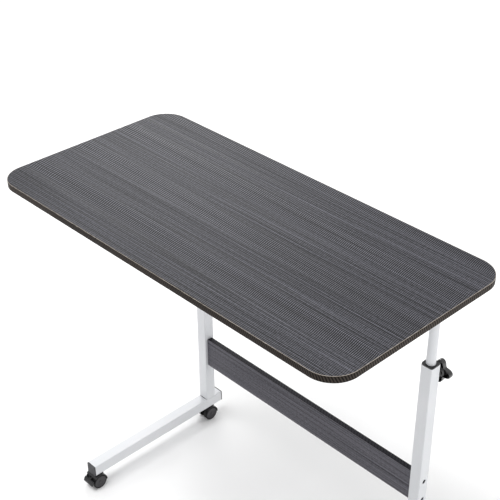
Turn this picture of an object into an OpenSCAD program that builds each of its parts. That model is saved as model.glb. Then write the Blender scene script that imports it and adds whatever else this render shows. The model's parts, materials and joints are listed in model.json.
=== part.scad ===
// Overbed table on casters.
// A rounded worktop sits on two support arms and two telescopic legs near its back edge.
// Each leg stands on a foot that runs front to back, with a twin-wheel caster at each end.
// A stretcher board ties the legs together, and a knob at the back of each leg locks the height.
// Origin: on the floor, under the middle of the table. +X right, +Y back, +Z up. Millimetres.

/* [Worktop] */
// Length of the worktop
top_w = 1004; // [900:2:1200]
// Depth of the worktop, front to back
top_d = 490; // [450:10:560]
// Thickness of the worktop
top_t = 15; // [15:1:22]
// Radius of the worktop's corners
corner_r = 60; // [20:5:100]
// Height of the worktop's upper face above the floor
top_h = 875; // [850:5:895]
// Thickness of the edge bands
band_t = 1; // [0.8:0.1:1.5]

/* [Legs] */
// Distance from a leg's centre to the worktop's end
leg_side_inset = 140; // [110:1:170]
// Distance from a leg's centre to the worktop's back edge
leg_back_inset = 24; // [20:1:40]
// Side of the square tubes of the legs and feet
tube = 30; // [30:1:32]
// Wall of the steel tubes
wall = 1.5; // [1.2:0.1:1.5]
// Length of the outer leg tubes
outer_len = 515; // [500:5:530]
// Length of the inner leg tubes below the support arms
inner_len = 370; // [360:5:390]

/* [Feet] */
// Distance from the worktop's front edge to the front of the feet
foot_setback = 69; // [40:1:120]
// How far the feet pass the worktop's back edge
foot_overhang = 15; // [15:1:40]

/* [Stretcher] */
// Height of the stretcher board
board_h = 85; // [80:1:100]
// Thickness of the stretcher board
board_t = 15; // [15:1:18]
// Gap between the feet and the stretcher board
board_gap = 117; // [60:1:130]

/* [Knobs] */
// Diameter over the knob's lobes
knob_d = 59; // [50:1:66]
// Distance from the leg's top to the knob's axis
knob_drop = 37; // [30:1:42]

/* [Casters] */
// Diameter of the caster wheels
wheel_d = 38; // [36:1:38]
// Width over a caster's two wheels
caster_w = 38; // [38:1:44]
// Distance from the floor to the underside of the feet
caster_h = 42; // [42:1:46]
// Distance from a swivel axis to its wheels' axle
trail = 15; // [14:1:16]
// Distance from a foot's end to the swivel axis
stem_inset = 27; // [26:1:35]

/* [Hidden] */
$fn = 64;

// Sides and ends of the table
LEFT = -1;
RIGHT = 1;
FRONT = -1;
REAR = 1;

// Clearances: a plug in a tube, a shaft in its bore, and the overlap of a cut
plug_gap = 0.1;
shaft_gap = 0.05;
hole_gap = 0.3;
access_gap = 1;
end_gap = 0.5;
cut = 1;

// Height clamp: nut, stud, pad and knob, all on one axis along Y
clamp_r = 4;
clamp_nut_r = 8;
clamp_nut_h = 8;
clamp_neck_r = 5.4;
pad_r = 3.4;
pad_t = 2;
knob_travel = 2.5;
knob_boss_r = 10;
knob_boss_h = 7;
knob_t = 12;
knob_dome = 1.5;
knob_grip = 10;
knob_lobes = 4;
knob_wall = 3;
knob_hub_r = 16;
knob_reach = clamp_nut_h + knob_travel + knob_boss_h;
knob_overhang = tube / 2 + knob_reach + knob_t + knob_dome - leg_back_inset;

// Main positions along Y and Z
depth = top_d + max(foot_overhang, knob_overhang);
y_front = -depth / 2;
foot_y1 = y_front + top_d + foot_overhang;
top_y = y_front + top_d / 2;
leg_x = top_w / 2 - leg_side_inset;
leg_y = y_front + top_d - leg_back_inset;
foot_z0 = caster_h;
foot_z1 = foot_z0 + tube;
foot_y0 = y_front + foot_setback;
leg_top = foot_z1 + outer_len;

// Tube sections
tube_r = 2.5;
bore_w = tube - 2 * wall;
plug_w = bore_w - 2 * plug_gap;
plug_r = tube_r - wall;

// Inner tubes, their glides and the support arms
inner_d = 22;
arm_w = 30;
arm_h = 20;
arm_r = 2;
arm_cap_t = 2;
arm_cap_plug = 10;
arm_setback = 90;
arm_z1 = top_h - top_t;
arm_z0 = arm_z1 - arm_h;
arm_y0 = y_front + arm_setback;
arm_y1 = leg_y + tube / 2;
inner_z0 = arm_z0 - inner_len;
glide_h = 12;
glide_spigot_h = 18;
collar_t = 3;
collar_r = 7;
collar_lip = 0.5;
slide_gap = 0.08;
collar_plug_h = 18;

// Screws that hold the worktop
screw_r = 2.1;
screw_head_r = 4.5;
screw_head_h = 2.6;
screw_depth = 12;
screw_front_inset = 30;
screw_rear_inset = 40;
screw_ys = [arm_y0 + screw_front_inset, (arm_y0 + arm_y1) / 2, leg_y - screw_rear_inset];

// Positions of the height clamp
knob_z = leg_top - knob_drop;
knob_y = leg_y + tube / 2 + knob_reach;
pad_y = leg_y + inner_d / 2 + shaft_gap;

// Bolts from each leg into the ends of the stretcher
board_z0 = foot_z1 + board_gap;
board_w = 2 * leg_x - tube;
bolt_r = 3;
bolt_head_r = 5;
bolt_head_h = 4;
bolt_reach = 48;
bolt_spacing = 55;
bolt_zs = [board_z0 + (board_h - bolt_spacing) / 2, board_z0 + (board_h + bolt_spacing) / 2];
barrel_r = 5;
barrel_len = 12;
barrel_inset = 38;

// Bolts from each foot into the base plate of its leg, and the caster stems
m8_r = 4;
m8_hex_r = 7.5;
m8_head_h = 5.5;
m8_nut_h = 6.5;
base_plate_t = 6;
leg_bolt_reach = 18;
leg_bolt_top = foot_z1 + leg_bolt_reach;
cap_t = 3;
cap_plug = 14;
stem_flange_r = 8;
stem_flange_t = 1.8;
stem_pin_r = 3.5;
stem_pin_z0 = 8;
stem_thread_h = 12;
stem_top = foot_z0 + stem_thread_h;

// Casters: wheel centre at trail in front of the stem, one wheel radius above the floor
wheel_r = wheel_d / 2;
web_t = 10;
hood_gap = 0.9;
hood_t = 1.7;
hood_r = wheel_r + hood_gap + hood_t;
wheel_gap = 0.6;
wheel_x0 = web_t / 2 + wheel_gap;
wheel_len = caster_w / 2 - wheel_x0;
rim_t = 2.8;
disc_t = 2.8;
wheel_hub_r = 5;
axle_r = 2.5;
axle_half = caster_w / 2 - disc_t - end_gap;

// Brake lever: its pin sits in front of and above the axle
lever_u = 14;
lever_v = 10;
lever_arm_t = 5;
lever_arm_r = 3.5;
lever_arm_len = 8;
lever_slot = 5.4;
ear_reach = 4;
brake_pin_r = 1.5;
pedal_w = 35;
pedal_t = 2.6;
pedal_start = 5.6;
pedal_len = 13;
pedal_tilt = 60;

function stem_y(end) = end == FRONT ? foot_y0 + stem_inset : foot_y1 - stem_inset;

// ---- Shared shapes ----

module rounded_rect(w, d, r) {
    square([w, d - 2 * r], center = true);
    square([w - 2 * r, d], center = true);
    for (x = [-1, 1], y = [-1, 1])
        translate([x * (w / 2 - r), y * (d / 2 - r)]) circle(r);
}

module rounded_bar(w, d, r, len) {
    linear_extrude(len) rounded_rect(w, d, r);
}

module box_tube(w, d, r, len) {
    linear_extrude(len) difference() {
        rounded_rect(w, d, r);
        rounded_rect(w - 2 * wall, d - 2 * wall, r - wall);
    }
}

// Turns a shape made along +Z so that it runs along +Y, or along +X
module along_y() {
    rotate([-90, 0, 0]) children();
}

module along_x() {
    rotate([0, 90, 0]) children();
}

module each_side() {
    for (side = [LEFT, RIGHT]) translate([side * leg_x, 0, 0]) children();
}

// A flange with a square plug behind it, for the open end of a box tube
module end_cap(w, h, r, flange, plug) {
    rounded_bar(w, h, r, flange);
    translate([0, 0, flange])
        rounded_bar(w - 2 * (wall + plug_gap), h - 2 * (wall + plug_gap), r - wall, plug);
}

// ---- Worktop and support arms ----

module worktop() {
    color("#5b5a5e") translate([0, top_y, arm_z1]) difference() {
        rounded_bar(top_w - 2 * band_t, top_d - 2 * band_t, corner_r - band_t, top_t);
        for (side = [LEFT, RIGHT], y = screw_ys)
            translate([side * leg_x, y - top_y, -cut])
                cylinder(r = screw_r + shaft_gap, h = screw_depth + cut + shaft_gap);
    }
}

module worktop_edge_band() {
    color("#2f2b2b") translate([0, top_y, arm_z1]) linear_extrude(top_t) difference() {
        rounded_rect(top_w, top_d, corner_r);
        rounded_rect(top_w - 2 * band_t, top_d - 2 * band_t, corner_r - band_t);
    }
}

module support_arm(side) {
    access_r = screw_head_r + access_gap;
    color("#e4e5e8") difference() {
        translate([side * leg_x, arm_y0 + arm_cap_t, (arm_z0 + arm_z1) / 2])
            along_y() box_tube(arm_w, arm_h, arm_r, arm_y1 - arm_y0 - 2 * arm_cap_t);
        for (y = screw_ys) translate([side * leg_x, y, 0]) {
            translate([0, 0, arm_z1 - arm_h / 2]) cylinder(r = screw_r + hole_gap, h = arm_h);
            translate([0, 0, arm_z0 - cut]) cylinder(r = access_r, h = arm_h / 2);
        }
    }
}

module arm_end_caps() {
    color("#242426") each_side() translate([0, 0, (arm_z0 + arm_z1) / 2]) {
        translate([0, arm_y0, 0]) along_y() end_cap(arm_w, arm_h, arm_r, arm_cap_t, arm_cap_plug);
        translate([0, arm_y1, 0]) mirror([0, 1, 0]) along_y()
            end_cap(arm_w, arm_h, arm_r, arm_cap_t, arm_cap_plug);
    }
}

module worktop_screws() {
    seat_z = arm_z1 - wall;
    color("#b9bcc0") each_side() for (y = screw_ys) translate([0, y, seat_z - screw_head_h]) {
        cylinder(r = screw_head_r, h = screw_head_h);
        cylinder(r = screw_r, h = screw_head_h + wall + screw_depth);
    }
}

// ---- Telescopic legs ----

module inner_tube(side) {
    color("#dcdddf") translate([side * leg_x, leg_y, inner_z0]) difference() {
        cylinder(d = inner_d, h = inner_len);
        translate([0, 0, -cut]) cylinder(d = inner_d - 2 * wall, h = inner_len + 2 * cut);
    }
}

module inner_tube_glides() {
    color("#242426") each_side() translate([0, leg_y, inner_z0]) {
        translate([0, 0, -glide_h]) rounded_bar(plug_w, plug_w, plug_r, glide_h);
        cylinder(r = inner_d / 2 - wall - plug_gap, h = glide_spigot_h);
    }
}

module outer_tube(side) {
    color("#e4e5e8") difference() {
        translate([side * leg_x, leg_y, foot_z1]) box_tube(tube, tube, tube_r, outer_len);
        translate([side * leg_x, leg_y, knob_z])
            along_y() cylinder(r = clamp_neck_r + plug_gap, h = tube);
        for (z = bolt_zs) translate([side * leg_x, leg_y, z]) mirror([side < 0 ? 1 : 0, 0, 0]) {
            along_x() cylinder(r = bolt_head_r + access_gap / 2, h = tube);
            translate([-tube, 0, 0]) along_x() cylinder(r = bolt_r + hole_gap, h = tube);
        }
    }
}

module tube_collars() {
    color("#242426") each_side() translate([0, leg_y, leg_top]) difference() {
        union() {
            rounded_bar(tube + 2 * collar_lip, tube + 2 * collar_lip, collar_r, collar_t);
            translate([0, 0, -collar_plug_h])
                rounded_bar(plug_w, plug_w, plug_r, collar_plug_h);
        }
        translate([0, 0, -collar_plug_h - cut])
            cylinder(r = inner_d / 2 + slide_gap, h = collar_plug_h + collar_t + 2 * cut);
    }
}

module leg_base_plates() {
    color("#9a9da2") each_side() translate([0, leg_y, foot_z1]) difference() {
        rounded_bar(plug_w, plug_w, plug_r, base_plate_t);
        translate([0, 0, -cut]) cylinder(r = m8_r + shaft_gap, h = base_plate_t + 2 * cut);
    }
}

module leg_bolts() {
    seat_z = foot_z1 - wall;
    color("#b9bcc0") each_side() translate([0, leg_y, seat_z - m8_head_h]) {
        cylinder(r = m8_hex_r, h = m8_head_h, $fn = 6);
        cylinder(r = m8_r, h = leg_bolt_top - seat_z + m8_head_h);
    }
}

// ---- Height clamps ----

module clamp_nuts() {
    color("#b9bcc0") each_side() translate([0, leg_y + tube / 2 - wall, knob_z]) along_y()
        difference() {
            union() {
                cylinder(r = clamp_neck_r, h = wall);
                translate([0, 0, wall]) cylinder(r = clamp_nut_r, h = clamp_nut_h);
            }
            translate([0, 0, -cut])
                cylinder(r = clamp_r + shaft_gap, h = wall + clamp_nut_h + 2 * cut);
        }
}

module clamp_pad(side) {
    color("#e9e7e0") translate([side * leg_x, pad_y, knob_z]) along_y()
        cylinder(r = pad_r, h = pad_t);
}

module clamp_stud(side) {
    stud_y = pad_y + pad_t;
    color("#b9bcc0") translate([side * leg_x, stud_y, knob_z]) along_y()
        cylinder(r = clamp_r, h = knob_y + knob_grip - stud_y);
}

// Knob outline: a disc with one round scallop between each pair of lobes, all moved in by inset
module knob_outline(inset) {
    scallop_r = 0.28 * knob_d;
    difference() {
        circle(d = knob_d - 2 * inset);
        for (i = [0 : knob_lobes - 1])
            rotate((i + 0.5) * 360 / knob_lobes) translate([2 * scallop_r, 0])
                circle(scallop_r + inset);
    }
}

// The knob is a shell, open towards the leg, round a hub whose boss reaches towards the nut
module clamp_knob(side) {
    color("#1d1d1f") translate([side * leg_x, knob_y, knob_z]) along_y() difference() {
        union() {
            linear_extrude(knob_t) knob_outline(0);
            cylinder(r = knob_hub_r, h = knob_t + knob_dome);
            translate([0, 0, -knob_boss_h]) cylinder(r = knob_boss_r, h = knob_boss_h + cut);
        }
        translate([0, 0, -cut]) linear_extrude(knob_t - knob_wall + cut) difference() {
            knob_outline(knob_wall);
            circle(knob_hub_r - knob_wall);
        }
        translate([0, 0, -knob_boss_h - cut])
            cylinder(r = clamp_r + shaft_gap, h = knob_boss_h + knob_grip + cut + end_gap);
    }
}

// ---- Stretcher board ----

module stretcher_holes() {
    for (side = [LEFT, RIGHT], z = bolt_zs) translate([side * board_w / 2, leg_y, z])
        mirror([side < 0 ? 1 : 0, 0, 0]) {
            translate([-bolt_reach - end_gap, 0, 0]) along_x()
                cylinder(r = bolt_r + hole_gap, h = bolt_reach + end_gap + cut);
            translate([-barrel_inset, board_t / 2 - barrel_len - end_gap, 0]) along_y()
                cylinder(r = barrel_r + shaft_gap, h = barrel_len + end_gap + cut);
        }
}

module board_block(trim) {
    translate([-board_w / 2 + trim, leg_y - board_t / 2, board_z0 + trim])
        cube([board_w - 2 * trim, board_t, board_h - 2 * trim]);
}

module stretcher() {
    color("#58565a") difference() {
        board_block(band_t);
        stretcher_holes();
    }
}

module stretcher_edge_band() {
    color("#2f2b2b") difference() {
        board_block(0);
        translate([0, -cut, 0]) board_block(band_t);
        translate([0, cut, 0]) board_block(band_t);
        stretcher_holes();
    }
}

module stretcher_bolts() {
    head_x = tube / 2 - wall;
    color("#b9bcc0") for (side = [LEFT, RIGHT], z = bolt_zs)
        translate([side * (leg_x - head_x), leg_y, z]) mirror([side < 0 ? 1 : 0, 0, 0]) {
            along_x() cylinder(r = bolt_head_r, h = bolt_head_h);
            translate([-wall - bolt_reach, 0, 0]) along_x()
                cylinder(r = bolt_r, h = wall + bolt_reach);
        }
}

module barrel_nuts() {
    color("#b9bcc0") for (side = [LEFT, RIGHT], z = bolt_zs)
        translate([side * (board_w / 2 - barrel_inset), leg_y + board_t / 2 - barrel_len, z])
            difference() {
                along_y() cylinder(r = barrel_r, h = barrel_len);
                translate([-barrel_r - cut, barrel_len - board_t / 2, 0]) along_x()
                    cylinder(r = bolt_r + shaft_gap, h = 2 * (barrel_r + cut));
            }
}

// ---- Feet ----

module foot(side) {
    color("#e4e5e8") difference() {
        translate([side * leg_x, foot_y0 + cap_t, (foot_z0 + foot_z1) / 2])
            along_y() box_tube(tube, tube, tube_r, foot_y1 - foot_y0 - 2 * cap_t);
        for (end = [FRONT, REAR])
            translate([side * leg_x, stem_y(end), foot_z0 - cut])
                cylinder(r = m8_r + hole_gap / 2, h = tube / 2);
        translate([side * leg_x, leg_y, foot_z0 - cut]) {
            cylinder(r = m8_hex_r + access_gap, h = tube / 2);
            cylinder(r = m8_r + hole_gap, h = tube + 2 * cut);
        }
    }
}

module front_foot_caps() {
    color("#3c3c3f") each_side() translate([0, foot_y0, (foot_z0 + foot_z1) / 2])
        along_y() end_cap(tube, tube, tube_r, cap_t, cap_plug);
}

module rear_foot_caps() {
    color("#3c3c3f") each_side() translate([0, foot_y1, (foot_z0 + foot_z1) / 2])
        mirror([0, 1, 0]) along_y() end_cap(tube, tube, tube_r, cap_t, cap_plug);
}

module caster_nuts() {
    color("#9a9da2") each_side() for (end = [FRONT, REAR])
        translate([0, stem_y(end), foot_z0 + wall]) difference() {
            cylinder(r = m8_hex_r, h = m8_nut_h, $fn = 6);
            translate([0, 0, -cut]) cylinder(r = m8_r + shaft_gap, h = m8_nut_h + 2 * cut);
        }
}

module caster_stems() {
    color("#b9bcc0") each_side() for (end = [FRONT, REAR]) translate([0, stem_y(end), 0]) {
        translate([0, 0, stem_pin_z0]) cylinder(r = stem_pin_r, h = foot_z0 - stem_pin_z0);
        translate([0, 0, foot_z0 - stem_flange_t]) cylinder(r = stem_flange_r, h = stem_flange_t);
        translate([0, 0, foot_z0]) cylinder(r = m8_r, h = stem_top - foot_z0);
    }
}

// ---- Casters ----

// Places a shape at a caster's swivel axis, on the floor
module at_caster(side, end) {
    translate([side * leg_x, stem_y(end), 0]) children();
}

// Places a shape made along +Z on the axle's axis, starting x0 from the swivel axis
module on_axle(x0) {
    translate([x0, -trail, wheel_r]) along_x() children();
}

// Places a shape at the brake lever's pin
module at_brake_pin() {
    translate([0, -trail - lever_u, wheel_r + lever_v]) children();
}

// Curved cover over the tops of both wheels, open at the front and below
module hood_shell() {
    front_open = 48;
    skirt_drop = 2;
    difference() {
        on_axle(-caster_w / 2) cylinder(r = hood_r, h = caster_w);
        on_axle(-caster_w / 2 - cut) cylinder(r = wheel_r + hood_gap, h = caster_w + 2 * cut);
        translate([-caster_w, -trail - 2 * hood_r, -hood_r])
            cube([2 * caster_w, 4 * hood_r, hood_r + wheel_r - skirt_drop]);
        translate([0, -trail, wheel_r]) rotate([-front_open, 0, 0])
            translate([-caster_w, -2 * hood_r, -2 * hood_r])
                cube([2 * caster_w, 2 * hood_r, 2 * hood_r]);
    }
}

// Central web between the wheels: it carries the axle and the swivel stem
module hood_web() {
    column_r = 7;
    column_z0 = 6;
    axle_boss_r = 7;
    web_front = 4;
    swivel_gap = 0.6;
    difference() {
        on_axle(-web_t / 2) cylinder(r = hood_r, h = web_t);
        translate([-web_t, -trail - 2 * hood_r - web_front, 0])
            cube([2 * web_t, 2 * hood_r, 3 * hood_r]);
        translate([-web_t, -trail - 2 * hood_r, column_z0 - 2 * hood_r])
            cube([2 * web_t, 4 * hood_r, 2 * hood_r]);
    }
    on_axle(-web_t / 2) cylinder(r = axle_boss_r, h = web_t);
    intersection() {
        translate([0, 0, column_z0])
            cylinder(r = column_r, h = foot_z0 - stem_flange_t - swivel_gap - column_z0);
        translate([-web_t / 2, -column_r, 0]) cube([web_t, 2 * column_r, foot_z0]);
    }
}

// Ears that hold the brake lever's pin on each side of its arm
module brake_ears() {
    ear_h = 12;
    ear_len = lever_u + ear_reach;
    difference() {
        translate([-web_t / 2, -trail - ear_len, wheel_r + lever_v - ear_h / 2])
            cube([web_t, ear_len, ear_h]);
        translate([-lever_slot / 2, -trail - ear_len - cut, wheel_r + lever_v - ear_h])
            cube([lever_slot, ear_len - ear_reach + cut, 2 * ear_h]);
        at_brake_pin() translate([-web_t, 0, 0]) along_x()
            cylinder(r = brake_pin_r + shaft_gap, h = 2 * web_t);
    }
}

module caster_hood(side, end) {
    color("#28282a") at_caster(side, end) difference() {
        union() {
            hood_shell();
            hood_web();
            if (end == FRONT) brake_ears();
        }
        on_axle(-web_t) cylinder(r = axle_r + shaft_gap, h = 2 * web_t);
        translate([0, 0, stem_pin_z0 - end_gap]) cylinder(r = stem_pin_r + slide_gap, h = foot_z0);
    }
}

module caster_axle(side, end) {
    color("#b9bcc0") at_caster(side, end)
        on_axle(-axle_half) cylinder(r = axle_r, h = 2 * axle_half);
}

// One wheel: a rim and an outer disc around a hub, hollow towards the web
module wheel(side, end, face) {
    color("#323234") at_caster(side, end) mirror([face < 0 ? 1 : 0, 0, 0])
        on_axle(wheel_x0) difference() {
            cylinder(r = wheel_r, h = wheel_len);
            translate([0, 0, -cut]) difference() {
                cylinder(r = wheel_r - rim_t, h = wheel_len - disc_t + cut);
                cylinder(r = wheel_hub_r, h = wheel_len);
            }
            translate([0, 0, -cut])
                cylinder(r = axle_r + shaft_gap, h = axle_half - wheel_x0 + cut + end_gap / 2);
        }
}

module brake_pin(side) {
    color("#b9bcc0") at_caster(side, FRONT) at_brake_pin()
        translate([-web_t / 2, 0, 0]) along_x() cylinder(r = brake_pin_r, h = web_t);
}

// Foot-operated lever: an arm between the hood's ears and a sloping pedal in front of the wheels
module brake_lever(side) {
    color("#28282a") at_caster(side, FRONT) at_brake_pin() difference() {
        union() {
            translate([-lever_arm_t / 2, 0, 0]) along_x() cylinder(r = lever_arm_r, h = lever_arm_t);
            translate([-lever_arm_t / 2, -lever_arm_len, -lever_arm_r])
                cube([lever_arm_t, lever_arm_len, 2 * lever_arm_r]);
            translate([-pedal_w / 2, -pedal_start, 0]) rotate([pedal_tilt, 0, 0])
                translate([0, -pedal_len, -pedal_t / 2]) cube([pedal_w, pedal_len, pedal_t]);
        }
        translate([-web_t, 0, 0]) along_x()
            cylinder(r = brake_pin_r + shaft_gap, h = 2 * web_t);
    }
}

// ---- Nodes ----

worktop();
worktop_edge_band();
support_arm(LEFT);  // support_arm_left
support_arm(RIGHT);  // support_arm_right
arm_end_caps();
worktop_screws();
inner_tube(LEFT);  // inner_tube_left
inner_tube(RIGHT);  // inner_tube_right
inner_tube_glides();
outer_tube(LEFT);  // outer_tube_left
outer_tube(RIGHT);  // outer_tube_right
tube_collars();
clamp_nuts();
clamp_stud(LEFT);  // clamp_stud_left
clamp_stud(RIGHT);  // clamp_stud_right
clamp_pad(LEFT);  // clamp_pad_left
clamp_pad(RIGHT);  // clamp_pad_right
clamp_knob(LEFT);  // clamp_knob_left
clamp_knob(RIGHT);  // clamp_knob_right
leg_base_plates();
leg_bolts();
stretcher();
stretcher_edge_band();
stretcher_bolts();
barrel_nuts();
foot(LEFT);  // foot_left
foot(RIGHT);  // foot_right
front_foot_caps();
rear_foot_caps();
caster_nuts();
caster_stems();
caster_hood(LEFT, FRONT);  // caster_hood_front_left
caster_hood(RIGHT, FRONT);  // caster_hood_front_right
caster_hood(LEFT, REAR);  // caster_hood_rear_left
caster_hood(RIGHT, REAR);  // caster_hood_rear_right
caster_axle(LEFT, FRONT);  // caster_axle_front_left
caster_axle(RIGHT, FRONT);  // caster_axle_front_right
caster_axle(LEFT, REAR);  // caster_axle_rear_left
caster_axle(RIGHT, REAR);  // caster_axle_rear_right
wheel(LEFT, FRONT, LEFT);  // wheel_front_left_outer
wheel(LEFT, FRONT, RIGHT);  // wheel_front_left_inner
wheel(RIGHT, FRONT, RIGHT);  // wheel_front_right_outer
wheel(RIGHT, FRONT, LEFT);  // wheel_front_right_inner
wheel(LEFT, REAR, LEFT);  // wheel_rear_left_outer
wheel(LEFT, REAR, RIGHT);  // wheel_rear_left_inner
wheel(RIGHT, REAR, RIGHT);  // wheel_rear_right_outer
wheel(RIGHT, REAR, LEFT);  // wheel_rear_right_inner
brake_lever(LEFT);  // brake_lever_left
brake_lever(RIGHT);  // brake_lever_right
brake_pin(LEFT);  // brake_pin_left
brake_pin(RIGHT);  // brake_pin_right
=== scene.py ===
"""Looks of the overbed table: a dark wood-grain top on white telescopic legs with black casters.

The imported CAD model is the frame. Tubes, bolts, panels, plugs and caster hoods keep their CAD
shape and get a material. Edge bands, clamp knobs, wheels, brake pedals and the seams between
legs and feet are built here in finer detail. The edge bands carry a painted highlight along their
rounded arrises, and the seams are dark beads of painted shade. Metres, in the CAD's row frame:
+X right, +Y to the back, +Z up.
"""

import json
import math

import bpy
from mathutils import Matrix, Vector


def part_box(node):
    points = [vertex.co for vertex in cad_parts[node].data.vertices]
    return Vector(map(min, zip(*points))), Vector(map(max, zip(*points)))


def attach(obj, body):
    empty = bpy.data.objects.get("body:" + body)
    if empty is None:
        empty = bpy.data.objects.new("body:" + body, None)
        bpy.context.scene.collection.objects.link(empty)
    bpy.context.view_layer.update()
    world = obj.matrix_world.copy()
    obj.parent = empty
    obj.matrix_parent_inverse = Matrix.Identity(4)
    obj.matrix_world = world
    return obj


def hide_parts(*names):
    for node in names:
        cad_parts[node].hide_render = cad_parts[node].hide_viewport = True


MM = 0.001
SIDES = ("left", "right")
ENDS = ("front", "rear")
FACES = ("outer", "inner")

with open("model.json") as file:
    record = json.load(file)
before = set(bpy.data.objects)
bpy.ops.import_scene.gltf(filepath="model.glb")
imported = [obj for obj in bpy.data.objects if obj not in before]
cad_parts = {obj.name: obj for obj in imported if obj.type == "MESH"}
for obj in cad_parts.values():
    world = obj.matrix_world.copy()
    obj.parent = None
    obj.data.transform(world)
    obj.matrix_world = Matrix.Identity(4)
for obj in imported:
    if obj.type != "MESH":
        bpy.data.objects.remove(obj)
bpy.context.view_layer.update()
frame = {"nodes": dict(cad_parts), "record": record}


# ---------------------------------------------------------------- colours and shader nodes


def rgb(code):
    """Linear RGBA from an sRGB hex code."""
    values = [int(code[i : i + 2], 16) / 255 for i in (0, 2, 4)]
    return tuple(
        v / 12.92 if v <= 0.04045 else ((v + 0.055) / 1.055) ** 2.4 for v in values
    ) + (1.0,)


class Shader:
    """A node material under construction. Its coordinates are metres in the row frame."""

    def __init__(self, name):
        self.material = bpy.data.materials.new(name)
        self.material.use_nodes = True
        self.tree = self.material.node_tree
        self.surface = self.tree.nodes["Principled BSDF"]
        self.coords = self.add("ShaderNodeTexCoord").outputs["Object"]

    def add(self, kind, inputs=None, **settings):
        """A new node, with its settings and with values or sockets plugged into its inputs."""
        node = self.tree.nodes.new(kind)
        for key, value in settings.items():
            setattr(node, key, value)
        for socket, value in (inputs or {}).items():
            self.plug(node.inputs[socket], value)
        return node

    def plug(self, socket, value):
        """Links an output socket to an input, or sets the input's value."""
        if isinstance(value, bpy.types.NodeSocket):
            self.tree.links.new(value, socket)
        else:
            socket.default_value = value

    def set(self, **inputs):
        """Sets inputs of the surface by name, with underscores for spaces."""
        for name, value in inputs.items():
            self.plug(self.surface.inputs[name.replace("_", " ")], value)

    def math(self, operation, a, b=0.0, c=0.0):
        """One arithmetic step on numbers or sockets."""
        node = self.add("ShaderNodeMath", {0: a, 1: b, 2: c}, operation=operation)
        return node.outputs[0]

    def axes(self):
        """The x, y and z coordinates as three sockets."""
        split = self.add("ShaderNodeSeparateXYZ", {"Vector": self.coords})
        return [split.outputs[i] for i in range(3)]

    def noise(self, cells, detail, offset=(0, 0, 0)):
        """Noise from 0 to 1 with this many cells per metre along each axis, moved by cells."""
        place = self.add(
            "ShaderNodeMapping",
            {"Vector": self.coords, "Location": offset, "Scale": cells},
        )
        field = self.add(
            "ShaderNodeTexNoise",
            {"Vector": place.outputs[0], "Scale": 1.0, "Detail": detail},
        )
        return field.outputs[0]

    def ramp(self, value, low, high, to_low=0.0, to_high=1.0):
        """Smoothly maps low..high of a value to to_low..to_high, and stops at the ends."""
        node = self.add(
            "ShaderNodeMapRange",
            {0: value, 1: low, 2: high, 3: to_low, 4: to_high},
            interpolation_type="SMOOTHSTEP",
        )
        return node.outputs[0]

    def mix(self, factor, a, b):
        """Mixes two colours."""
        node = self.add("ShaderNodeMix", data_type="RGBA")
        self.plug(node.inputs[0], factor)
        self.plug(node.inputs[6], a)
        self.plug(node.inputs[7], b)
        return node.outputs[2]

    def sway(self, value, amount):
        """Turns noise into a change of up to amount up or down."""
        return self.ramp(value, 0.3, 0.7, -amount, amount)

    def bump(self, height, depth):
        """Bumps the surface by up to this depth in metres."""
        node = self.add("ShaderNodeBump", {"Height": height, "Distance": depth})
        self.set(Normal=node.outputs["Normal"])


# ---------------------------------------------------------------- materials


def laminate(name, dark, light, middle, ripple, across_axis):
    """Wood-grain laminate: grain and thin lines along X, and bands of ripples in the print."""
    s = Shader(name)
    x, y, _ = s.axes()
    roughening = s.noise((0.6, 420, 420), 1)
    fibres = s.noise((3, 700, 700), 2)
    level = s.math("ADD", middle, s.sway(s.noise((1.1, 9, 9), 1), 0.03))
    level = s.math("ADD", level, s.sway(roughening, 0.02))
    level = s.math("ADD", level, s.sway(fibres, 0.12))
    level = s.math("ADD", level, s.sway(s.noise((150, 400, 400), 1), 0.08))
    level = s.math("ADD", level, thin_lines(s, x, across_axis))
    level = s.math("ADD", level, s.ramp(s.noise((0.6, 240, 240), 0, (7, 3, 0)), 0.66, 0.76, 0, 0.07))
    level = s.math("ADD", level, s.ramp(s.noise((0.7, 250, 250), 0, (2, 9, 0)), 0.66, 0.76, 0, -0.06))

    off_band = distance_from_band(s, y)
    wave = ripples(s, x, y, off_band, ripple)
    level = s.math("ADD", level, wave)
    line_half = 0.012
    dark_line = s.ramp(off_band, 0.6 * line_half, line_half, -0.25, 0.0)
    broken = s.ramp(s.noise((5, 5, 5), 2, (8, 8, 0)), 0.4, 0.55, 0.2, 1.0)
    level = s.math("MULTIPLY_ADD", dark_line, broken, level)

    s.set(Base_Color=s.mix(level, rgb(dark), rgb(light)))
    s.set(Roughness=s.ramp(roughening, 0.2, 0.8, 0.45, 0.6), Specular_IOR_Level=0.2)
    s.bump(s.math("ADD", fibres, wave), 0.1 * MM)
    return s.material


def thin_lines(s, x, across_axis):
    """Thin lines with a pale side and a dark side, weaker towards the left end.

    They are the difference of two slightly shifted noise fields.
    """
    cells = (2.4, 240, 240)
    shift = [5, 0, 0]
    pale_side = s.noise(cells, 1, shift)
    shift[across_axis] = 0.8
    dark_side = s.noise(cells, 1, shift)
    strength = s.ramp(x, -0.5, 0.3, 0.22, 0.5)
    return s.math("MULTIPLY", s.math("SUBTRACT", pale_side, dark_side), strength)


def distance_from_band(s, y):
    """Distance across the grain from the nearest ripple band's middle, in band pitches."""
    band_pitch = 127 * MM
    band_y = -25.5 * MM
    wander = s.math("MULTIPLY", s.noise((2.2, 3, 3), 2, (0, 4, 0)), 0.05)
    place = s.math("DIVIDE", s.math("SUBTRACT", y, band_y), band_pitch)
    place = s.math("ADD", place, wander)
    return s.math("ABSOLUTE", s.math("SUBTRACT", place, s.math("ROUND", place)))


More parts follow.
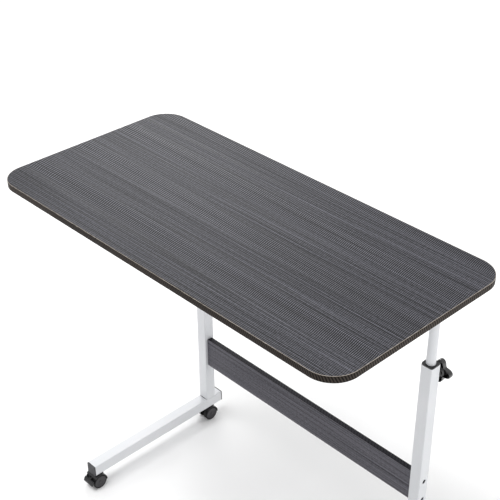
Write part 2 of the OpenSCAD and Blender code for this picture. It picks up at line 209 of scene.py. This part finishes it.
def ripples(s, x, y, off_band, strength):
    """Slanted ripples along the bands, closer together and stronger towards the right."""
    per_metre, drift, slant = 195.0, 58.0, 240.0
    bend = s.math("MULTIPLY", s.noise((14, 34, 34), 2, (3, 1, 0)), 9.0)
    cycles = s.math("MULTIPLY", x, s.math("MULTIPLY_ADD", x, drift, per_metre))
    angle = s.math("MULTIPLY", cycles, 2 * math.pi)
    angle = s.math("ADD", s.math("MULTIPLY_ADD", y, slant, angle), bend)
    in_band = s.ramp(off_band, 0.07, 0.22, 1.0, 0.15)
    patches = s.ramp(s.noise((4, 30, 30), 1, (1, 5, 0)), 0.3, 0.6, 0.75, 1.0)
    swell = s.ramp(x, -0.5, 0.5, 0.7, 1.0)
    amount = s.math("MULTIPLY", s.math("MULTIPLY", in_band, patches), swell)
    amount = s.math("MULTIPLY", amount, strength)
    lift = s.math("MULTIPLY", amount, 0.5)
    return s.math("MULTIPLY", s.math("SUBTRACT", s.math("SINE", angle), lift), amount)


def band_face(name, dark, mid, stripe, stripe_pitch):
    """Printed edge band with slanted stripes. Its UV is metres along the band and across it."""
    s = Shader(name)
    uv = s.add("ShaderNodeSeparateXYZ", {0: s.add("ShaderNodeTexCoord").outputs["UV"]})
    along, across = uv.outputs[0], uv.outputs[1]
    slant = 450.0
    drift = s.math("MULTIPLY", s.noise((30, 30, 60), 2), 5.0)
    angle = s.math("MULTIPLY_ADD", along, 2 * math.pi / stripe_pitch, drift)
    angle = s.math("MULTIPLY_ADD", across, slant, angle)
    stripes = s.math("MULTIPLY_ADD", s.math("SINE", angle), 0.5, 0.5)
    strength = s.ramp(s.noise((3, 3, 3), 1, (2, 0, 0)), 0.35, 0.6, 0.5, 0.85)
    streaks = s.noise((420, 420, 25), 3)
    tone = s.mix(s.ramp(streaks, 0.35, 0.7), rgb(dark), rgb(mid))
    tone = s.mix(s.math("MULTIPLY", stripes, strength), tone, rgb(stripe))
    s.set(Base_Color=tone, Roughness=s.ramp(streaks, 0.2, 0.8, 0.4, 0.55))
    s.set(Specular_IOR_Level=0.06)
    s.bump(streaks, 0.1 * MM)
    return s.material


def painted_arris_highlight(name, shade, worn):
    """A painted highlight: the pale line along the rounded arrises, where the trimmed band meets the
    laminate.
    """
    s = Shader(name)
    # The wear noise varies the painted highlight's tone, roughness and bump at random; the worn tone
    # is its paler end.
    wear = s.noise((90, 90, 90), 3)
    tone = s.mix(s.ramp(wear, 0.3, 0.7), rgb(shade), rgb(worn))
    s.set(Base_Color=tone, Roughness=s.ramp(wear, 0.2, 0.8, 0.35, 0.6))
    s.bump(wear, 0.05 * MM)
    return s.material


def powder_coat(name, shade, deep):
    """White powder coat: fine orange peel, a soft sheen and slight unevenness of colour."""
    s = Shader(name)
    cloud = s.noise((7, 7, 7), 2)
    peel = s.noise((700, 700, 700), 2)
    scuff = s.ramp(s.noise((40, 40, 260), 4, (5, 5, 5)), 0.62, 0.8)
    tone = s.mix(s.ramp(cloud, 0.3, 0.7), rgb(deep), rgb(shade))
    tone = s.mix(s.math("MULTIPLY", scuff, 0.12), tone, rgb("b9bcc2"))
    s.set(Base_Color=tone, Roughness=s.ramp(peel, 0.2, 0.8, 0.3, 0.42))
    s.set(Coat_Weight=0.25, Coat_Roughness=0.2)
    s.bump(peel, 0.05 * MM)
    return s.material


def moulded(name, shade, worn, rough, sheen=0.15, grit=900):
    """Injection-moulded plastic: fine spark-eroded grain, with paler wear in patches."""
    s = Shader(name)
    grain = s.noise((grit, grit, grit), 2)
    patches = s.noise((60, 60, 60), 4, (1, 2, 3))
    flow = s.noise((20, 160, 160), 2, (4, 0, 0))
    tone = s.mix(s.ramp(patches, 0.45, 0.75, 0.0, 0.7), rgb(shade), rgb(worn))
    tone = s.mix(s.ramp(flow, 0.5, 0.8, 0.0, 0.15), tone, rgb(worn))
    s.set(Base_Color=tone, Roughness=s.ramp(patches, 0.3, 0.7, rough, rough + 0.14))
    s.set(Specular_IOR_Level=sheen, Coat_Weight=0.5 * sheen, Coat_Roughness=0.25)
    s.bump(grain, 0.06 * MM)
    return s.material


def plated(name):
    """Zinc-plated steel: brushed streaks, a patchy passivated tint and a few dull spots."""
    s = Shader(name)
    brushed = s.noise((90, 900, 900), 3)
    tint = s.noise((50, 50, 50), 3, (3, 3, 3))
    tone = s.mix(s.ramp(tint, 0.3, 0.7), rgb("b4b8bd"), rgb("8f949b"))
    s.set(Base_Color=tone, Metallic=1.0, Roughness=s.ramp(brushed, 0.2, 0.8, 0.25, 0.45))
    s.bump(brushed, 0.03 * MM)
    return s.material


FINISHES = {
    "worktop_laminate": laminate(
        "worktop_laminate", "141416", "8a8a95", middle=0.172, ripple=1.3, across_axis=1
    ),
    "stretcher_laminate": laminate(
        "stretcher_laminate", "141317", "8a8892", middle=0.35, ripple=0.12, across_axis=2
    ),
    "edge_band": band_face("edge_band", "060404", "130f0d", "544c46", 5.8 * MM),
    "white_steel": powder_coat("white_steel", "dcdde0", "d6d8db"),
    "black_plastic": moulded("black_plastic", "1a1a1c", "2b2b2e", 0.4, 0.35),
    "cap_plastic": moulded("cap_plastic", "424245", "515154", 0.46),
    "wheel_plastic": moulded("wheel_plastic", "09090b", "131315", 0.48),
    "knob_plastic": moulded("knob_plastic", "101011", "1b1b1c", 0.25, 1.0),
    "white_nylon": moulded("white_nylon", "e2dfd6", "cfcabc", 0.4, 0.4),
    "zinc_steel": plated("zinc_steel"),
}
STRETCHER_EDGE = band_face("stretcher_edge", "232226", "343338", "3b3a3f", 9 * MM)
# Pale lines along the band arrises: painted highlights, warmer on the worktop band, greyer on the
# stretcher band.
ARRIS_HIGHLIGHT = painted_arris_highlight("edge_band_arris_highlight", "958c82", "c2b9ae")
STRETCHER_ARRIS_HIGHLIGHT = painted_arris_highlight("stretcher_arris_highlight", "5c5a60", "7c7a82")
DISC = moulded("wheel_disc", "3b3a3c", "4b494c", 0.4, 0.2, 600)


# ---------------------------------------------------------------- mesh helpers


def piece(name, points, quads, body, slot, stands_for, materials=None, tags=None):
    """A mesh in the row frame that rides on a CAD body and takes the place of a CAD node."""
    mesh = bpy.data.meshes.new(name)
    mesh.from_pydata(points, [], quads)
    mesh.update()
    obj = bpy.data.objects.new(name, mesh)
    bpy.context.scene.collection.objects.link(obj)
    for material in materials or [FINISHES[slot]]:
        mesh.materials.append(material)
    if tags:
        mesh.polygons.foreach_set("material_index", tags)
    mesh.shade_smooth()
    mesh.set_sharp_from_angle(angle=math.radians(38))
    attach(obj, body)
    if stands_for:
        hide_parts(*stands_for)
    return obj


def loft(rings, close_ends=True):
    """Faces between rings of equal length, as (points, faces, the ring each face starts at)."""
    count = len(rings[0])
    points = [p for ring in rings for p in ring]
    faces = []
    bands = []
    for r in range(len(rings) - 1):
        for i in range(count):
            j = (i + 1) % count
            a, b = r * count, (r + 1) * count
            faces.append((a + i, a + j, b + j, b + i))
            bands.append(r)
    if close_ends:
        faces.append(tuple(reversed(range(count))))
        faces.append(tuple(range(len(points) - count, len(points))))
        bands += [0, len(rings) - 2]
    return points, faces, bands


def arc(cx, cy, r, start, end, steps):
    """Points of an arc, angles in degrees."""
    angles = [math.radians(start + (end - start) * i / steps) for i in range(steps + 1)]
    return [(cx + r * math.cos(a), cy + r * math.sin(a)) for a in angles]


def round_edges(obj, width):
    """Rounds the sharp edges of an object."""
    mod = obj.modifiers.new("rounded edges", "BEVEL")
    mod.width = width
    mod.segments = 2
    mod.limit_method = "ANGLE"
    mod.angle_limit = math.radians(40)
    mod.harden_normals = False


# ---------------------------------------------------------------- edge bands


def rounded_outline(half_u, half_v, r, step):
    """A rounded rectangle as (point, outward normal, distance along it), and its whole length."""
    corners = [(1, 1, 0), (-1, 1, 90), (-1, -1, 180), (1, -1, 270)]
    result = []
    travelled = 0.0
    last = None
    for su, sv, start in corners:
        steps = max(4, round(math.pi / 2 * r / step))
        for i in range(steps + 1):
            a = math.radians(start + 90 * i / steps)
            n = (math.cos(a), math.sin(a))
            p = (su * (half_u - r) + r * n[0], sv * (half_v - r) + r * n[1])
            if last:
                travelled += math.dist(last, p)
            result.append((p, n, travelled))
            last = p
    total = travelled + math.dist(last, result[0][0])
    return result, total


def edge_band(name, half_u, half_v, r, w0, w1, arris, place, body, stands_for, materials):
    """A band round a panel's edge with both arrises rounded. place(u, v, w) gives the point."""
    lip = 0.05 * MM
    tuck = 1.6 * arris
    steps = 5
    outline, total = rounded_outline(half_u, half_v, r, 4 * MM)
    upper = [(arris * (1 - math.sin(t)), w1 - arris * (1 - math.cos(t)))
             for t in (math.pi / 2 * k / steps for k in range(steps + 1))]
    lower = [(inset, w0 + w1 - w) for inset, w in reversed(upper)]
    profile = [(tuck, w1 - 4 * lip)] + [(i, w + lip) for i, w in upper]
    profile += [(i, w - lip) for i, w in lower] + [(tuck, w0 + 4 * lip)]
    rows = []
    for inset, w in profile:
        row = []
        for (u, v), (nu, nv), _ in outline:
            row.append(place(u - nu * inset, v - nv * inset, w))
        rows.append(row)
    points, faces, bands = loft(rows, close_ends=False)
    # Faces on the rounded arrises take the second material, the painted arris highlight.
    last_pale_above, first_pale_below = 3, len(profile) - 4
    tags = [0 if last_pale_above < band < first_pale_below else 1 for band in bands]
    obj = piece(name, points, faces, body, "edge_band", stands_for, materials, tags)
    uv = obj.data.uv_layers.new(name="band")
    count = len(outline)
    for poly in obj.data.polygons:
        for loop in poly.loop_indices:
            row, column = divmod(obj.data.loops[loop].vertex_index, count)
            along = outline[column][2]
            if column == 0 and poly.vertices[1] % count == 0:
                along = total
            uv.data[loop].uv = (along, profile[row][1])
    return obj


def worktop_band():
    """The worktop's edge band."""
    lo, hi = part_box("worktop_edge_band")
    centre = (lo + hi) / 2
    half = (hi - lo) / 2
    corner = 60 * MM
    return edge_band(
        "worktop_edge_band_trimmed", half.x, half.y, corner, lo.z, hi.z, 0.7 * MM,
        lambda u, v, w: (centre.x + u, centre.y + v, w),
        "upper_frame", ["worktop_edge_band"], [FINISHES["edge_band"], ARRIS_HIGHLIGHT],
    )


def stretcher_band():
    """The stretcher's edge band, round its ends and its long edges."""
    lo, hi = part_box("stretcher_edge_band")
    centre = (lo + hi) / 2
    half = (hi - lo) / 2
    return edge_band(
        "stretcher_edge_band_trimmed", half.x, half.z, 2.5 * MM, -hi.y, -lo.y, 0.8 * MM,
        lambda u, v, w: (centre.x + u, -w, centre.z + v),
        "base", ["stretcher_edge_band"], [STRETCHER_EDGE, STRETCHER_ARRIS_HIGHLIGHT],
    )


# ---------------------------------------------------------------- clamp knobs


def circle_ring(cx, cz, y, radius, count):
    """A ring of points round an axis along Y."""
    angles = [2 * math.pi * i / count for i in range(count)]
    return [(cx + radius * math.cos(a), y, cz + radius * math.sin(a)) for a in angles]


def lobed_ring(cx, cz, y, r, inset, count):
    """A ring round a knob with lobes at 0, 90, 180 and 270 degrees, moved in by inset."""
    waist = 0.43
    ring = []
    for i in range(count):
        a = 2 * math.pi * i / count
        between = (0.5 - 0.5 * math.cos(4 * a)) ** 1.15
        radius = r * (1 - waist * between) - inset
        ring.append((cx + radius * math.cos(a), y, cz + radius * math.sin(a)))
    return ring


def clamp_knob(side):
    """Four-lobed knob: a moulded shell, open towards the leg, round a hub with a low dome."""
    node = f"clamp_knob_{side}"
    lo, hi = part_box(node)
    cx, cz = (lo.x + hi.x) / 2, (lo.z + hi.z) / 2
    r = (hi.x - lo.x) / 2
    boss_end, dome = lo.y, hi.y
    back = boss_end + 7 * MM
    rim = dome - 1.5 * MM
    wall = 3 * MM
    boss = 10 * MM
    hub = 13 * MM
    bore = 4.2 * MM
    edge = 2.4 * MM
    count = 144

    inside = [(bore, back + 9 * MM), (bore, boss_end + 0.4 * MM), (bore + 0.5 * MM, boss_end)]
    inside += [(boss - 0.8 * MM, boss_end), (boss, boss_end + 0.8 * MM), (boss, back - 1.2 * MM)]
    inside += [(boss + 0.4 * MM, back - 0.4 * MM), (boss + 1.2 * MM, back), (hub - 0.8 * MM, back)]
    inside += [(hub, back + 0.8 * MM), (hub + 0.3 * MM, rim - wall)]
    rings = [circle_ring(cx, cz, y, radius, count) for radius, y in inside]
    skin = [(wall + 0.3 * MM, rim - wall), (wall, back + 0.8 * MM), (wall - 0.6 * MM, back)]
    skin += [(0.8 * MM, back), (0.2 * MM, back + 0.5 * MM), (0.0, back + 1.2 * MM)]
    skin += [(edge - dx, y) for dx, y in arc(0, rim - edge, edge, 0, 84, 7)]
    rings += [lobed_ring(cx, cz, y, r, inset, count) for inset, y in skin]
    top = [(hub + 1.6 * MM, rim - 0.6 * MM), (hub + 1.0 * MM, rim)]
    top += [(hub, dome - 0.5 * MM), (hub - 1.2 * MM, dome - 0.15 * MM), (2 * MM, dome)]
    rings += [circle_ring(cx, cz, y, radius, count) for radius, y in top]
    return piece(f"clamp_knob_{side}_moulded", *loft(rings)[:2], f"knob_{side}",
                 "knob_plastic", [node])


# ---------------------------------------------------------------- casters


def wheel_profile(r, length):
    """(radius, x) from the web's side to the outer side, and the profile's material per step."""
    tread_edge = 1.2 * MM
    profile = [(5.2 * MM, 0.0), (r - 3.4 * MM, 0.0), (r - 2.4 * MM, 0.2 * MM)]
    profile += [(r - 1.2 * MM, 0.3 * MM), (r - 0.3 * MM, 0.9 * MM), (r, 1.8 * MM)]
    shoulder = arc(length - tread_edge, r - tread_edge, tread_edge, 90, 10, 5)
    profile += [(radius, x) for x, radius in shoulder]
    inner = r - 1.7 * MM
    profile += [(inner + 0.3 * MM, length - 0.1 * MM), (inner, length - 1.2 * MM)]
    disc_from = len(profile) - 1
    profile += [(inner - 0.6 * MM, length - 1.1 * MM), (inner - 1.2 * MM, length - 0.4 * MM)]
    profile += [(inner - 4 * MM, length - 0.25 * MM), (inner - 8 * MM, length - 0.9 * MM)]
    profile += [(4.6 * MM, length - 1.1 * MM), (4.2 * MM, length - 0.5 * MM)]
    profile += [(3.4 * MM, length - 0.2 * MM), (0.6 * MM, length - 0.15 * MM)]
    return profile, disc_from


def wheel(end, side, face):
    """One wheel of a twin caster: a rounded tyre, a groove and a paler, slightly dished disc."""
    name = f"wheel_{end}_{side}_{face}"
    lo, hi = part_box(name)
    cy, cz = (lo.y + hi.y) / 2, (lo.z + hi.z) / 2
    axle_lo, axle_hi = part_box(f"caster_axle_{end}_{side}")
    axle_x = (axle_lo.x + axle_hi.x) / 2
    out = 1 if lo.x > axle_x else -1
    x0 = lo.x if out > 0 else hi.x
    profile, disc_from = wheel_profile((hi.z - lo.z) / 2, hi.x - lo.x)
    count = 72
    rings = []
    for radius, x in profile:
        rings.append([
            (x0 + out * x, cy + radius * math.cos(a), cz + out * radius * math.sin(a))
            for a in (2 * math.pi * i / count for i in range(count))
        ])
    points, faces, bands = loft(rings)
    tags = [1 if band >= disc_from else 0 for band in bands]
    return piece(f"{name}_moulded", points, faces, name, "wheel_plastic", [name],
                 [FINISHES["wheel_plastic"], DISC], tags)


def pedal_section(x, half_w):
    """Closed side section of the pedal at x, u forward and v up: a bowed plate, ribbed outside."""
    reach = 12.6 * MM
    half_t = 1.1 * MM
    corner = 1.5 * MM
    bulge = 0.7 * MM
    rib = 0.5 * MM
    ribs = 4
    steps = 32
    tilt = math.radians(60)
    over = max(0.0, abs(x) - (half_w - corner))
    reach -= corner - math.sqrt(max(corner**2 - over**2, 0.0))
    outer = []
    inner = []
    for i in range(steps + 1):
        t = i / steps
        middle = bulge * math.sin(math.pi * t)
        grip = rib * max(0.0, math.sin(2 * math.pi * ribs * t)) if 0.1 < t < 0.95 else 0.0
        outer.append((reach * t, middle + half_t + grip))
        inner.append((reach * t, middle - half_t))
    nose = [(reach + 0.7 * half_t, 0.0)]
    ca, sa = math.cos(tilt), math.sin(tilt)
    return [(u * ca + v * sa, -u * sa + v * ca) for u, v in outer + nose + inner[::-1]]


def brake_pedal(side):
    """The brake lever: a ribbed pedal on an arm that turns on the brake pin."""
    node = f"brake_lever_{side}"
    pin_lo, pin_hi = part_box(f"brake_pin_{side}")
    pin = (pin_lo + pin_hi) / 2
    lo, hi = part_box(node)
    half_w = (hi.x - lo.x) / 2
    root = 5.6 * MM
    steps = 36
    rings = []
    for x in (half_w * (2 * i / steps - 1) for i in range(steps + 1)):
        rings.append([(pin.x + x, pin.y - root - u, pin.z + v)
                      for u, v in pedal_section(x, half_w)])
    plate, plate_faces, _ = loft(rings)

    eye = 3.4 * MM
    outline = arc(0, 0, eye, -110, 110, 14)
    outline += [(-6 * MM, 1.2 * MM), (-7.4 * MM, -1.2 * MM), (-6 * MM, -3.4 * MM)]
    arm_rings = []
    for x, scale in ((-2.5, 0.85), (-2.0, 1.0), (2.0, 1.0), (2.5, 0.85)):
        arm_rings.append([(pin.x + x * MM, pin.y + u * scale, pin.z + v * scale)
                          for u, v in outline])
    arm, arm_faces, _ = loft(arm_rings)
    offset = len(plate)
    faces = plate_faces + [tuple(i + offset for i in face) for face in arm_faces]
    return piece(f"brake_pedal_{side}", plate + arm, faces, f"brake_{side}",
                 "black_plastic", [node])


# ---------------------------------------------------------------- painted shade at the joint between leg and foot


def leg_seam_shade(side):
    """The dark gap along the front of the leg's foot, as a thin tapered bead: painted shade for the
    shadow in the joint.
    """
    lo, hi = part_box(f"outer_tube_{side}")
    steps = 24
    inset = 2 * MM
    rings = []
    for i in range(steps + 1):
        t = i / steps
        x = lo.x + inset + (hi.x - lo.x - 2 * inset) * t
        r = 0.1 * MM + 0.8 * MM * math.sin(math.pi * t) ** 0.4
        rings.append([
            (x, lo.y + r * math.cos(a), lo.z + 0.3 * MM + r * math.sin(a))
            for a in (2 * math.pi * k / 10 for k in range(10))
        ])
    # Painted shade: the bead takes the dark black_plastic finish to stand in for the joint's shadow.
    return piece(f"leg_seam_shade_{side}", *loft(rings)[:2], "base", "black_plastic", [])


# ---------------------------------------------------------------- CAD nodes


def dress_cad_nodes():
    """Gives every CAD node the material of its slot, and rounds the sharp edges of the white steel,
    black plastic and cap plastic nodes.
    """
    slots = {p["node"]: p["material_slot"] for p in frame["record"]["subparts"]}
    edge_widths = {"black_plastic": 0.5 * MM, "cap_plastic": 0.8 * MM, "white_steel": 0.3 * MM}
    for name, obj in frame["nodes"].items():
        slot = slots[name]
        obj.data.materials.clear()
        obj.data.materials.append(FINISHES[slot])
        if slot in edge_widths:
            round_edges(obj, edge_widths[slot])


# ---------------------------------------------------------------- floor, light and camera


def floor():
    """A plain, pale floor that reaches past every view."""
    half = 12.0
    mesh = bpy.data.meshes.new("floor")
    corners = [(-half, -half, 0), (half, -half, 0), (half, half, 0), (-half, half, 0)]
    mesh.from_pydata(corners, [], [(0, 1, 2, 3)])
    obj = bpy.data.objects.new("floor", mesh)
    bpy.context.scene.collection.objects.link(obj)
    s = Shader("floor")
    tone = s.mix(s.ramp(s.noise((3, 3, 3), 2), 0.3, 0.7), rgb("f6f6f6"), rgb("f9f9f9"))
    s.set(Base_Color=tone, Roughness=0.9, Specular_IOR_Level=0.1)
    mesh.materials.append(s.material)


def studio_world():
    """White surroundings: full white to the camera, and softer as a light."""
    world = bpy.data.worlds.new("studio")
    world.use_nodes = True
    tree = world.node_tree
    background = tree.nodes["Background"]
    background.inputs["Color"].default_value = (1, 1, 1, 1)
    seen = tree.nodes.new("ShaderNodeLightPath").outputs["Is Camera Ray"]
    strength = tree.nodes.new("ShaderNodeMapRange")
    strength.inputs["To Min"].default_value = 0.67
    strength.inputs["To Max"].default_value = 1.0
    tree.links.new(seen, strength.inputs["Value"])
    tree.links.new(strength.outputs["Result"], background.inputs["Strength"])
    bpy.context.scene.world = world


def light(name, kind, power, place, aim):
    """A light of this kind at place, turned towards aim. Returns its data for further settings."""
    data = bpy.data.lights.new(name, kind)
    data.energy = power
    obj = bpy.data.objects.new(name, data)
    obj.location = place
    obj.rotation_euler = (Vector(aim) - Vector(place)).to_track_quat("-Z", "Y").to_euler()
    bpy.context.scene.collection.objects.link(obj)
    return data


def studio_lights():
    """A broad, soft key from above the front, two large discs at the sides, a glow behind."""
    key = light("key", "SUN", 1.7, (-0.14, -0.38, 1.0), (0.0, 0.0, 0.0))
    key.angle = math.radians(33)
    for name, power, place, aim, size in (
        ("behind left", 24, (-2.3, 1.8, 2.1), (0.0, 0.0, 0.6), 1.6),
        ("right", 9, (2.4, 0.1, 0.9), (-0.3, 0.2, 0.35), 1.4),
    ):
        disc = light(name, "AREA", power, place, aim)
        disc.shape = "DISK"
        disc.size = size
    glow = light("floor behind", "SPOT", 45, (0.0, 2.0, 2.0), (0.0, 0.82, 0.0))
    glow.spot_size = math.radians(34)
    glow.spot_blend = 1.0
    glow.shadow_soft_size = 0.2


def camera():
    """At the photograph's viewing angle: over the table's front right corner."""
    place = (1.4569, -1.3522, 2.0589)
    azimuth, elevation, roll = (math.radians(a) for a in (45.61, 33.19, 0.13))
    back = Vector((
        math.sin(azimuth) * math.cos(elevation),
        -math.cos(azimuth) * math.cos(elevation),
        math.sin(elevation),
    ))
    data = bpy.data.cameras.new("camera")
    data.lens = 81.15
    data.sensor_width = 36.0
    data.shift_x = -0.0295
    data.shift_y = 0.0326
    obj = bpy.data.objects.new("camera", data)
    turn = (-back).to_track_quat("-Z", "Y").to_matrix().to_4x4() @ Matrix.Rotation(roll, 4, "Z")
    obj.matrix_world = Matrix.Translation(place) @ turn
    bpy.context.scene.collection.objects.link(obj)
    bpy.context.scene.camera = obj


# ---------------------------------------------------------------- the scene

dress_cad_nodes()
worktop_band()
stretcher_band()
for side in SIDES:
    clamp_knob(side)
    brake_pedal(side)
    leg_seam_shade(side)
    for end in ENDS:
        for face in FACES:
            wheel(end, side, face)

floor()
studio_world()
studio_lights()
camera()
bpy.context.scene.view_settings.view_transform = "Standard"
